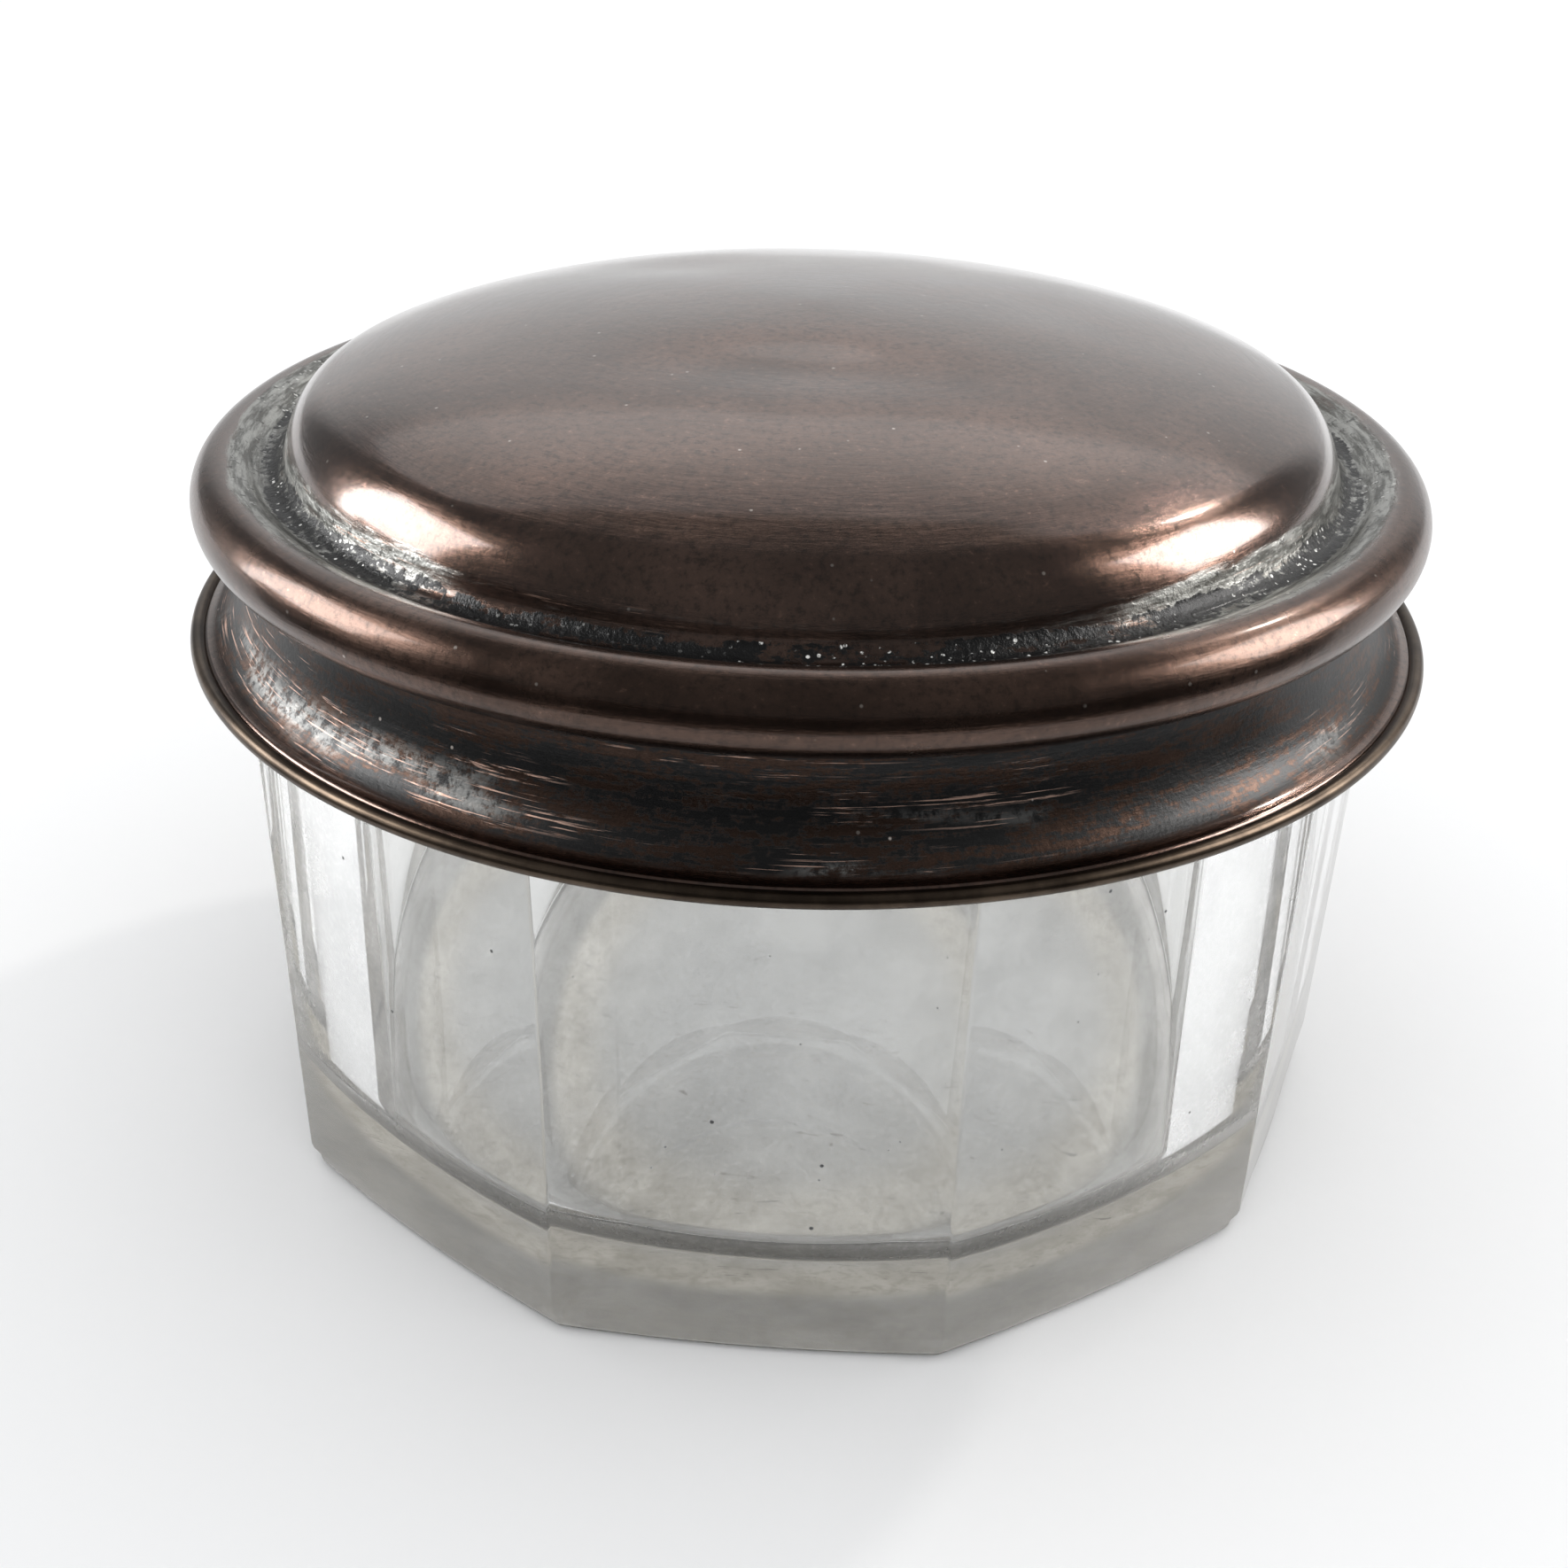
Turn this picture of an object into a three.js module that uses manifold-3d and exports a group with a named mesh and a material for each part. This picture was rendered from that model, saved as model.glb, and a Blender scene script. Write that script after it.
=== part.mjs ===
// Lidded dappen dish: a ten-sided pressed glass jar with a pull-off spun copper lid.
// Millimetres, +Z up. The origin is the middle of the jar's flat underside, the jar's
// axis is Z, and one flat facet of the jar faces -Y.
import * as THREE from 'three';
import { mergeVertices } from 'three/addons/utils/BufferGeometryUtils.js';
import Module from 'manifold-3d';

// ---- driving dimensions ----
const FACETS = 10;
const FLATS_AT_BASE = 53.2; // across two opposite facets
const FLATS_AT_SHOULDER = 54.0;
const SHOULDER_Z = 24.9; // top of the faceted body
const BASE_BEVEL = 0.5;
const SHOULDER_BEVEL = 0.3;

const NECK_RADIUS = 25.2; // plain round neck above the shoulder
const NECK_TOP_Z = 31.35; // ground rim
const NECK_BEVEL = 0.25;
const CAVITY_RADIUS = 23.6;
const CAVITY_FLOOR_Z = 2.9;
const CAVITY_CORNER = 2.8; // radius between the wall and the floor
const RIM_ROUND = 0.4; // inner edge of the ground rim

const SHEET = 0.5; // spun copper
const CROWN_RADIUS = 25.1; // the crown follows z = foot + rise (1 - (r / radius)^a)^(1 / b)
const CROWN_FOOT_Z = 34.0;
const CROWN_RISE = 6.0;
const CROWN_POWER_A = 1.5;
const CROWN_POWER_B = 2.4;
const CROWN_EDGE_RADIUS = 22.7; // here the crown starts to turn down into the groove round it
const CROWN_EDGE_EASE = 0.66; // how far the turn keeps to the crown and to the groove's wall
const GROOVE_RADIUS = 25.6; // middle of the groove's round floor
const GROOVE_ROUND = 0.9;
const GROOVE_WALL_DEG = 15; // lean of the groove's inner wall from upright
const GROOVE_WALL_LENGTH = 0.25;
const BEAD_CENTRE_RADIUS = 27.35; // half-round bead round the lid
const BEAD_CENTRE_Z = 32.25;
const BEAD_ROUND = 1.7;
const COVE_RADIUS = 26.9; // narrowest part of the lid, under the bead
const COVE_TOP_ROUND = 0.35;
const COVE_START_Z = 29.6; // the flare is a quarter ellipse below this
const FLARE_WIDTH = 2.4;
const FLARE_HEIGHT = 3.85;
const FLARE_SWEEP_DEG = 78;

const WIRE_ROUND = 0.35; // wire ring that stiffens the foot of the lid
const FOOT_RADIUS = 29.8;
const WIRE_Z = 25.5;

const COLLAR_INNER_RADIUS = 25.5; // slips over the glass neck
const COLLAR_OUTER_RADIUS = 26.05;
const COLLAR_BOTTOM_Z = 26.2;
const COLLAR_TOP_Z = 32.35;
const COLLAR_LEAD_IN = 0.15;

const DISC_RADIUS = 25.0; // seal disc between the ground rim and the lid
const DISC_BOTTOM_Z = 31.65;
const DISC_THICKNESS = 0.7;

const ROUND_SEGMENTS = 48;
const WIRE_SEGMENTS = 8;

// ---- materials ----
const glass = new THREE.MeshStandardMaterial({ color: 0xdfe6e4, roughness: 0.05, metalness: 0 });
const copper = new THREE.MeshStandardMaterial({ color: 0x6b4a3d, roughness: 0.35, metalness: 1 });
const darkCopper = new THREE.MeshStandardMaterial({ color: 0x4a3a33, roughness: 0.4, metalness: 1 });
const card = new THREE.MeshStandardMaterial({ color: 0xc9b28a, roughness: 0.9, metalness: 0 });

// ---- profile helpers: points are (radius, height) ----
const rad = THREE.MathUtils.degToRad;

function ellipsePoints(centreR, centreZ, halfR, halfZ, fromDeg, toDeg, steps) {
  const points = [];
  for (let i = 0; i <= steps; i += 1) {
    const angle = rad(fromDeg + ((toDeg - fromDeg) * i) / steps);
    points.push(new THREE.Vector2(centreR + halfR * Math.cos(angle), centreZ + halfZ * Math.sin(angle)));
  }
  return points;
}

function arcPoints(centreR, centreZ, radius, fromDeg, toDeg, steps) {
  return ellipsePoints(centreR, centreZ, radius, radius, fromDeg, toDeg, steps);
}

// Drops points that repeat the one before, where two stretches of a profile meet.
function joined(...stretches) {
  return stretches.flat().filter((p, i, all) => i === 0 || p.distanceTo(all[i - 1]) > 0.01);
}

// A smooth curve that leaves start along startWay and reaches end along endWay.
function easedCurve(start, startWay, end, endWay, steps) {
  const gap = end.clone().sub(start);
  const cross = startWay.cross(endWay);
  const reachStart = (gap.cross(endWay) / cross) * CROWN_EDGE_EASE;
  const reachEnd = (gap.cross(startWay) / -cross) * CROWN_EDGE_EASE;
  const first = start.clone().addScaledVector(startWay, reachStart);
  const second = end.clone().addScaledVector(endWay, -reachEnd);
  return new THREE.CubicBezierCurve(start, first, second, end).getPoints(steps);
}

// The same line moved sideways by distance, to the right of its direction of travel.
function offsetLine(line, distance) {
  return line.map((p, i) => {
    const before = line[Math.max(i - 1, 0)];
    const after = line[Math.min(i + 1, line.length - 1)];
    const along = after.clone().sub(before).normalize();
    return new THREE.Vector2(p.x + along.y * distance, p.y - along.x * distance);
  });
}

// A solid of revolution about Z. The profile is closed here if it doesn't meet the axis,
// and is run in the direction that turns the faces outwards.
function revolve(profile, segments, phiStart = 0) {
  const line = profile[0].x === 0 ? [...profile] : [...profile, profile[0].clone()];
  if (THREE.ShapeUtils.area(line) < 0) line.reverse();
  const geometry = new THREE.LatheGeometry(line, segments, phiStart);
  geometry.rotateX(Math.PI / 2); // the lathe's Y axis becomes Z
  return geometry;
}

// ---- booleans ----
const wasm = await Module();
wasm.setup();

function toSolid(geometry) {
  const bare = geometry.clone();
  bare.deleteAttribute('normal');
  bare.deleteAttribute('uv');
  const merged = mergeVertices(bare, 1e-4);
  const corners = merged.index.array;
  const kept = [];
  for (let i = 0; i < corners.length; i += 3) {
    const [a, b, c] = [corners[i], corners[i + 1], corners[i + 2]];
    if (a !== b && b !== c && c !== a) kept.push(a, b, c);
  }
  const mesh = new wasm.Mesh({
    numProp: 3,
    vertProperties: new Float32Array(merged.attributes.position.array),
    triVerts: new Uint32Array(kept),
  });
  return new wasm.Manifold(mesh);
}

function toGeometry(solid) {
  const mesh = solid.getMesh();
  const geometry = new THREE.BufferGeometry();
  geometry.setAttribute('position', new THREE.BufferAttribute(mesh.vertProperties.slice(), 3));
  geometry.setIndex(new THREE.BufferAttribute(mesh.triVerts.slice(), 1));
  geometry.computeVertexNormals();
  return geometry;
}

// ---- the glass jar ----
function facetedBody() {
  const toCorner = 1 / Math.cos(Math.PI / FACETS);
  const base = (FLATS_AT_BASE / 2) * toCorner;
  const top = (FLATS_AT_SHOULDER / 2) * toCorner;
  const profile = [
    [0, 0],
    [base - BASE_BEVEL, 0],
    [base, BASE_BEVEL],
    [top, SHOULDER_Z - SHOULDER_BEVEL],
    [top - SHOULDER_BEVEL, SHOULDER_Z],
    [0, SHOULDER_Z],
  ].map(([r, z]) => new THREE.Vector2(r, z));
  return revolve(profile, FACETS, Math.PI / FACETS);
}

function roundNeck() {
  const root = SHOULDER_Z - 2; // runs down into the body, so that the two join
  const profile = [
    [0, root],
    [NECK_RADIUS, root],
    [NECK_RADIUS, NECK_TOP_Z - NECK_BEVEL],
    [NECK_RADIUS - NECK_BEVEL, NECK_TOP_Z],
    [0, NECK_TOP_Z],
  ].map(([r, z]) => new THREE.Vector2(r, z));
  return revolve(profile, ROUND_SEGMENTS);
}

function cavity() {
  const aboveRim = NECK_TOP_Z + 2;
  const profile = joined(
    [new THREE.Vector2(0, CAVITY_FLOOR_Z)],
    arcPoints(CAVITY_RADIUS - CAVITY_CORNER, CAVITY_FLOOR_Z + CAVITY_CORNER, CAVITY_CORNER, -90, 0, 6),
    arcPoints(CAVITY_RADIUS + RIM_ROUND, NECK_TOP_Z - RIM_ROUND, RIM_ROUND, 180, 90, 3),
    [new THREE.Vector2(CAVITY_RADIUS + RIM_ROUND, aboveRim), new THREE.Vector2(0, aboveRim)],
  );
  return revolve(profile, ROUND_SEGMENTS);
}

function glassJar() {
  const outside = toSolid(facetedBody()).add(toSolid(roundNeck()));
  return toGeometry(outside.subtract(toSolid(cavity())));
}

// ---- the lid ----
function crownZ(r) {
  const fall = 1 - (r / CROWN_RADIUS) ** CROWN_POWER_A;
  return CROWN_FOOT_Z + CROWN_RISE * fall ** (1 / CROWN_POWER_B);
}

function crownLine(endRadius, steps) {
  const points = [];
  for (let i = 0; i <= steps; i += 1) {
    const r = endRadius * Math.sin((i / steps) * (Math.PI / 2));
    points.push(new THREE.Vector2(r, crownZ(r)));
  }
  return points;
}

// Outside of the lid, from the middle of the crown to the foot.
function lidLine() {
  const acrossGroove = BEAD_CENTRE_RADIUS - GROOVE_RADIUS;
  const grooveToBead = GROOVE_ROUND + BEAD_ROUND;
  const grooveZ = BEAD_CENTRE_Z + Math.sqrt(grooveToBead ** 2 - acrossGroove ** 2);
  const leaveGroove = -THREE.MathUtils.radToDeg(Math.acos(acrossGroove / grooveToBead));
  const groove = arcPoints(
    GROOVE_RADIUS, grooveZ, GROOVE_ROUND, GROOVE_WALL_DEG - 180, leaveGroove, 5,
  );
  const crown = crownLine(CROWN_EDGE_RADIUS, 9);
  const crownEnd = crown.at(-1);
  const beyond = CROWN_EDGE_RADIUS + 0.001;
  const fall = new THREE.Vector2(beyond, crownZ(beyond)).sub(crownEnd).normalize();
  const lean = rad(GROOVE_WALL_DEG);
  const wallWay = new THREE.Vector2(Math.sin(lean), -Math.cos(lean));
  const wallTop = groove[0].clone().addScaledVector(wallWay, -GROOVE_WALL_LENGTH);
  const coveR = COVE_RADIUS + COVE_TOP_ROUND;
  const coveToBead = COVE_TOP_ROUND + BEAD_ROUND;
  const acrossCove = BEAD_CENTRE_RADIUS - coveR;
  const coveZ = BEAD_CENTRE_Z - Math.sqrt(coveToBead ** 2 - acrossCove ** 2);
  const enterCove = THREE.MathUtils.radToDeg(Math.acos(acrossCove / coveToBead));
  return joined(
    crown,
    easedCurve(crownEnd, fall, wallTop, wallWay, 5),
    groove,
    arcPoints(BEAD_CENTRE_RADIUS, BEAD_CENTRE_Z, BEAD_ROUND, 180 + leaveGroove, enterCove - 180, 10),
    arcPoints(coveR, coveZ, COVE_TOP_ROUND, enterCove, 180, 2),
    ellipsePoints(
      COVE_RADIUS + FLARE_WIDTH, COVE_START_Z, FLARE_WIDTH, FLARE_HEIGHT, 180, 180 + FLARE_SWEEP_DEG, 6,
    ),
  );
}

function lidShell() {
  const outer = lidLine();
  const inner = offsetLine(outer, SHEET);
  inner[0].x = 0; // the crown's middle lies on the axis on both sides
  return revolve([...outer, ...inner.reverse()], ROUND_SEGMENTS);
}

function footWire() {
  const ring = arcPoints(FOOT_RADIUS - WIRE_ROUND, WIRE_Z, WIRE_ROUND, 0, -360, WIRE_SEGMENTS);
  return revolve(ring.slice(0, -1), ROUND_SEGMENTS);
}

function collar() {
  const profile = [
    [COLLAR_OUTER_RADIUS, COLLAR_TOP_Z],
    [COLLAR_OUTER_RADIUS, COLLAR_BOTTOM_Z],
    [COLLAR_INNER_RADIUS + COLLAR_LEAD_IN, COLLAR_BOTTOM_Z],
    [COLLAR_INNER_RADIUS, COLLAR_BOTTOM_Z + 2 * COLLAR_LEAD_IN],
    [COLLAR_INNER_RADIUS, COLLAR_TOP_Z],
  ].map(([r, z]) => new THREE.Vector2(r, z));
  return revolve(profile, ROUND_SEGMENTS);
}

function sealDisc() {
  const top = DISC_BOTTOM_Z + DISC_THICKNESS;
  const profile = [
    [0, DISC_BOTTOM_Z],
    [DISC_RADIUS, DISC_BOTTOM_Z],
    [DISC_RADIUS, top],
    [0, top],
  ].map(([r, z]) => new THREE.Vector2(r, z));
  return revolve(profile, ROUND_SEGMENTS);
}

// ---- assembly ----
const object = new THREE.Group();
const lid = new THREE.Group();
object.add(lid);

function addPiece(parent, name, geometry, material) {
  const mesh = new THREE.Mesh(geometry, material);
  mesh.name = name;
  parent.add(mesh);
}

addPiece(object, 'glass_jar', glassJar(), glass);
addPiece(lid, 'lid_seal_disc', sealDisc(), card);
addPiece(lid, 'lid_collar', collar(), darkCopper);
addPiece(lid, 'lid_shell', lidShell(), copper);
addPiece(lid, 'lid_foot_wire', footWire(), darkCopper);

export default object;
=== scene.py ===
"""Looks of a lidded dappen dish: a clear ten-sided glass jar under a worn, silver-plated copper lid.

Shapes are worked out in millimetres and written to the meshes in metres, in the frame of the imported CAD
model. Z is the jar's axis, and one flat facet of the jar faces -Y.
"""

import math

import bpy
import numpy as np
from mathutils import Matrix, Vector, noise


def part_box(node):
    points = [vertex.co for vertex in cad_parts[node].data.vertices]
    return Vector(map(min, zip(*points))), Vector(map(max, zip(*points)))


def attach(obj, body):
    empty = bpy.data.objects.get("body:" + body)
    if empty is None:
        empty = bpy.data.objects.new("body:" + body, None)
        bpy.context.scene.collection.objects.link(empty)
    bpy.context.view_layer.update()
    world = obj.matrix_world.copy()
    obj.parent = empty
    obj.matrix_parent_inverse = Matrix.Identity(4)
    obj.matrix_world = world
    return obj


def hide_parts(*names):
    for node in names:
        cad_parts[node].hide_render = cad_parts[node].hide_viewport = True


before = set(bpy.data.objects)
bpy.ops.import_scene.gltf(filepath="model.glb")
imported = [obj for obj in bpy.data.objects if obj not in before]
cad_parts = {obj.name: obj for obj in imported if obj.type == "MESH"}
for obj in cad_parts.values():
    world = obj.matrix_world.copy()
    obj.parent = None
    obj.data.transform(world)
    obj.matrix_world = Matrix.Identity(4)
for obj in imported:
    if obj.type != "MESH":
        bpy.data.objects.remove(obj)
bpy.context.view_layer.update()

MM = 0.001


def size_mm(node):
    """The lowest and highest corners of a CAD node, in millimetres."""
    low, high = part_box(node)
    return low / MM, high / MM


# ---------------------------------------------------------------- sizes from the frame, in millimetres
JAR_HIGH = size_mm("glass_jar")[1]
SHELL_LOW, SHELL_HIGH = size_mm("lid_shell")
WIRE_LOW, WIRE_HIGH = size_mm("lid_foot_wire")
COLLAR_LOW, COLLAR_HIGH = size_mm("lid_collar")
DISC_LOW, DISC_HIGH = size_mm("lid_seal_disc")

FACETS = 10
CORNER_DEG = 180 / FACETS

# The glass jar.
SHOULDER_APOTHEM = JAR_HIGH.y
BASE_APOTHEM = SHOULDER_APOTHEM - 0.4
SHOULDER_Z = 24.9
NECK_TOP_Z = JAR_HIGH.z
NECK_RADIUS = 25.2
CAVITY_RADIUS = 23.6
CAVITY_FLOOR_Z = 2.9
CAVITY_CORNER = 2.8
RIM_ROUND = 0.4
CORNER_ROUND = 0.35
HEEL_HEIGHT = 1.0
HEEL_STEPS = 4
HEEL_SOFTNESS = 0.3
BASE_ROUND = 0.5
FLAT_APOTHEM = BASE_APOTHEM - BASE_ROUND
SHOULDER_ROUND = 0.3
NECK_ROUND = 0.25

# The lid: crown, groove, bead, cove and flared foot, as in the CAD outline.
CROWN_TOP_Z = SHELL_HIGH.z
CROWN_RADIUS = 25.1
CROWN_FOOT_Z = 34.0
CROWN_POWER_A = 1.5
CROWN_POWER_B = 2.4
CROWN_EDGE_RADIUS = 22.7
EASE = 0.66
WALL_LENGTH = 0.25
GROOVE_RADIUS = 25.6
GROOVE_ROUND = 0.9
GROOVE_WALL_DEG = 15
BEAD_ROUND = 1.7
BEAD_CENTRE_RADIUS = SHELL_HIGH.x - BEAD_ROUND
BEAD_CENTRE_Z = 32.25
COVE_RADIUS = 26.9
COVE_TOP_ROUND = 0.35
COVE_START_Z = 29.6
FLARE_WIDTH = 2.4
FLARE_HEIGHT = 3.85
FLARE_SWEEP_DEG = 85
SHEET = 0.5


# ---------------------------------------------------------------- outlines: points are (radius, height)
def arc(centre, radius, start_deg, end_deg, steps, squash=1.0):
    """Points on an arc, or on an ellipse whose height is squash times its width."""
    turn = np.radians(np.linspace(start_deg, end_deg, steps + 1))
    return np.stack([centre[0] + radius * np.cos(turn), centre[1] + radius * squash * np.sin(turn)], axis=1)


def crown_z(r):
    fall = np.clip(1 - (r / CROWN_RADIUS) ** CROWN_POWER_A, 0, 1)
    return CROWN_FOOT_Z + (CROWN_TOP_Z - CROWN_FOOT_Z) * fall ** (1 / CROWN_POWER_B)


def eased(start, start_way, end, end_way, steps):
    """Points on a curve that leaves start along start_way and reaches end along end_way."""
    cross = start_way[0] * end_way[1] - start_way[1] * end_way[0]
    gap = end - start
    reach_start = (gap[0] * end_way[1] - gap[1] * end_way[0]) / cross
    reach_end = (gap[1] * start_way[0] - gap[0] * start_way[1]) / cross
    first = start + start_way * reach_start * EASE
    second = end - end_way * reach_end * EASE
    t = np.linspace(0, 1, steps + 1)[:, None]
    return (1 - t) ** 3 * start + 3 * (1 - t) ** 2 * t * first + 3 * (1 - t) * t**2 * second + t**3 * end


def joined(*stretches):
    """One outline from several, without the points that repeat where two of them meet."""
    points = [p for stretch in stretches for p in np.atleast_2d(stretch)]
    kept = [points[0]]
    for p in points[1:]:
        if np.linalg.norm(p - kept[-1]) > 0.004:
            kept.append(p)
    return np.array(kept)


def lid_outline():
    """The lid's outside from the crown's middle to the foot, and where its groove and cove lie on it."""
    across_groove = BEAD_CENTRE_RADIUS - GROOVE_RADIUS
    groove_reach = GROOVE_ROUND + BEAD_ROUND
    groove_z = BEAD_CENTRE_Z + math.sqrt(groove_reach**2 - across_groove**2)
    leave_groove = -math.degrees(math.acos(across_groove / groove_reach))
    groove = arc((GROOVE_RADIUS, groove_z), GROOVE_ROUND, GROOVE_WALL_DEG - 180, leave_groove, 16)

    crown_r = CROWN_EDGE_RADIUS * np.sin(np.linspace(0, math.pi / 2, 60))
    crown = np.stack([crown_r, crown_z(crown_r)], axis=1)
    step = 0.001
    fall = np.array([step, crown_z(CROWN_EDGE_RADIUS + step) - crown_z(CROWN_EDGE_RADIUS)]) / step
    wall_turn = math.radians(GROOVE_WALL_DEG)
    wall_way = np.array([math.sin(wall_turn), -math.cos(wall_turn)])
    wall_top = groove[0] - wall_way * WALL_LENGTH
    edge = eased(crown[-1], fall / np.linalg.norm(fall), wall_top, wall_way, 20)

    cove_r = COVE_RADIUS + COVE_TOP_ROUND
    cove_reach = COVE_TOP_ROUND + BEAD_ROUND
    cove_z = BEAD_CENTRE_Z - math.sqrt(cove_reach**2 - (BEAD_CENTRE_RADIUS - cove_r) ** 2)
    enter_cove = math.degrees(math.acos((BEAD_CENTRE_RADIUS - cove_r) / cove_reach))
    bead = arc((BEAD_CENTRE_RADIUS, BEAD_CENTRE_Z), BEAD_ROUND, 180 + leave_groove, enter_cove - 180, 40)
    cove_top = arc((cove_r, cove_z), COVE_TOP_ROUND, enter_cove, 180, 8)
    flare_centre = (COVE_RADIUS + FLARE_WIDTH, COVE_START_Z)
    flare = arc(flare_centre, FLARE_WIDTH, 180, 180 + FLARE_SWEEP_DEG, 36, FLARE_HEIGHT / FLARE_WIDTH)
    wall = np.linspace(edge[-1], groove[0], 6)
    neck = np.linspace(cove_top[-1], flare[0], 6)
    return joined(crown, edge, wall, groove, bead, cove_top, neck, flare)


def normals_of(outline):
    """Unit normals to the left of an outline's direction of travel."""
    along = np.gradient(outline, axis=0)
    along /= np.linalg.norm(along, axis=1)[:, None]
    return np.stack([-along[:, 1], along[:, 0]], axis=1)


def smooth_step(x, low, high):
    t = np.clip((x - low) / (high - low), 0, 1)
    return t * t * (3 - 2 * t)


# ---------------------------------------------------------------- meshes
def new_object(name, points, faces, smooth=True):
    """A mesh object from points in millimetres."""
    mesh = bpy.data.meshes.new(name)
    mesh.from_pydata([tuple(p) for p in np.asarray(points) * MM], [], faces)
    mesh.shade_smooth() if smooth else mesh.shade_flat()
    obj = bpy.data.objects.new(name, mesh)
    bpy.context.scene.collection.objects.link(obj)
    return obj


def ring_faces(rings, columns, closed):
    """Quads between rings of points, and from the last ring to the first if closed."""
    faces = []
    for i in range(rings if closed else rings - 1):
        here, there = i * columns, ((i + 1) % rings) * columns
        for j in range(columns):
            k = (j + 1) % columns
            faces.append((here + j, here + k, there + k, there + j))
    return faces


def turned(name, outline, columns, closed=False, shift=None):
    """A solid of revolution. An open outline starts and ends on the axis, and a closed one meets itself.
    shift(points) may move its points. The ring attribute holds each point's place round and along the
    outline, in millimetres."""
    outline = np.asarray(outline, float)
    along = np.concatenate([[0], np.cumsum(np.linalg.norm(np.diff(outline, axis=0), axis=1))])
    poles = [] if closed else [0, len(outline) - 1]
    body = [i for i in range(len(outline)) if i not in poles]
    turn = np.linspace(0, 2 * math.pi, columns, endpoint=False)
    cos, sin = np.cos(turn), np.sin(turn)
    points = np.array([[r * c, r * s, z] for r, z in outline[body] for c, s in zip(cos, sin)])
    place = np.array([[c, s, along[i]] for i in body for c, s in zip(cos, sin)])
    faces = ring_faces(len(body), columns, closed)
    for i in poles:
        tip = len(points)
        points = np.vstack([points, [0, 0, outline[i][1]]])
        place = np.vstack([place, [0, 0, along[i]]])
        edge = 0 if i == 0 else (len(body) - 1) * columns
        fan = [(edge + j, edge + (j + 1) % columns, tip) for j in range(columns)]
        faces += [f[::-1] for f in fan] if i == 0 else fan
    if shift is not None:
        points = shift(points)
    obj = new_object(name, points, faces)
    mesh = obj.data
    mesh.attributes.new("ring", "FLOAT_VECTOR", "POINT").data.foreach_set("vector", place.ravel())
    face_outwards(mesh)
    return obj


def face_outwards(mesh):
    """Turns the faces round if the closed mesh has a negative volume."""
    points = np.zeros(len(mesh.vertices) * 3)
    mesh.vertices.foreach_get("co", points)
    points = points.reshape(-1, 3)
    mesh.calc_loop_triangles()
    corners = np.zeros(len(mesh.loop_triangles) * 3, int)
    mesh.loop_triangles.foreach_get("vertices", corners)
    a, b, c = (points[corners.reshape(-1, 3)[:, i]] for i in range(3))
    if np.einsum("ij,ij->i", a, np.cross(b, c)).sum() < 0:
        mesh.flip_normals()


def add_point_values(obj, name, values):
    obj.data.attributes.new(name, "FLOAT", "POINT").data.foreach_set("value", np.asarray(values, float))


# ---------------------------------------------------------------- the glass jar
def facet_outline(flat_steps=12, corner_steps=6):
    """Points and normals of a ten-sided outline with rounded corners, one unit from centre to facet."""
    corner = math.radians(CORNER_DEG)
    round_size = CORNER_ROUND / BASE_APOTHEM
    points, normals = [], []
    for k in range(FACETS):
        facing = 2 * math.pi * k / FACETS - math.pi / 2
        normal = np.array([math.cos(facing), math.sin(facing)])
        sideways = np.array([-normal[1], normal[0]])
        flat_end = (1 - round_size) * math.tan(corner)
        for t in np.linspace(-flat_end, flat_end, flat_steps + 1):
            points.append(normal + sideways * t)
            normals.append(normal)
        middle = normal * (1 - round_size) + sideways * flat_end
        for t in np.linspace(0, 2 * corner, corner_steps + 1)[1:-1]:
            out = normal * math.cos(t) + sideways * math.sin(t)
            points.append(middle + out * round_size)
            normals.append(out)
    return np.array(points), np.array(normals)


def jar_outline():
    """The jar's outline as rows of (size, height, outward slope, upward slope, roundness). Size is the
    distance from the axis to a facet, and roundness goes from 0, ten-sided, to 1, round."""
    rows = []

    def curve(centre, radius, start_deg, end_deg, steps, roundness, inward=False):
        sign = -1 if inward else 1
        for turn in np.radians(np.linspace(start_deg, end_deg, steps + 1)):
            out, up = math.cos(turn), math.sin(turn)
            place = (centre[0] + radius * out, centre[1] + radius * up)
            rows.append((*place, sign * out, sign * up, roundness))

    rows.append((FLAT_APOTHEM - 0.3, 0, 0, -1, HEEL_SOFTNESS))
    curve((FLAT_APOTHEM, BASE_ROUND), BASE_ROUND, -90, 0, 7, HEEL_SOFTNESS)
    lean = (SHOULDER_APOTHEM - BASE_APOTHEM) / SHOULDER_Z
    for t in np.linspace(0, 1, HEEL_STEPS + 1)[1:]:
        height = BASE_ROUND + t * HEEL_HEIGHT
        softness = HEEL_SOFTNESS * (1 - float(smooth_step(t, 0, 1)))
        rows.append((BASE_APOTHEM + lean * t * HEEL_HEIGHT, height, 1, -lean, softness))
    curve((SHOULDER_APOTHEM - SHOULDER_ROUND, SHOULDER_Z - SHOULDER_ROUND), SHOULDER_ROUND, 0, 90, 5, 0)
    curve((NECK_RADIUS + NECK_ROUND, SHOULDER_Z + NECK_ROUND), NECK_ROUND, 270, 180, 4, 1, inward=True)
    curve((NECK_RADIUS - NECK_ROUND, NECK_TOP_Z - NECK_ROUND), NECK_ROUND, 0, 90, 4, 1)
    curve((CAVITY_RADIUS + RIM_ROUND, NECK_TOP_Z - RIM_ROUND), RIM_ROUND, 90, 180, 4, 1)
    corner_r = CAVITY_RADIUS - CAVITY_CORNER
    curve((corner_r, CAVITY_FLOOR_Z + CAVITY_CORNER), CAVITY_CORNER, 0, -90, 14, 1, inward=True)
    rows.append((corner_r / 2, CAVITY_FLOOR_Z, 0, 1, 1))
    return rows


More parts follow.
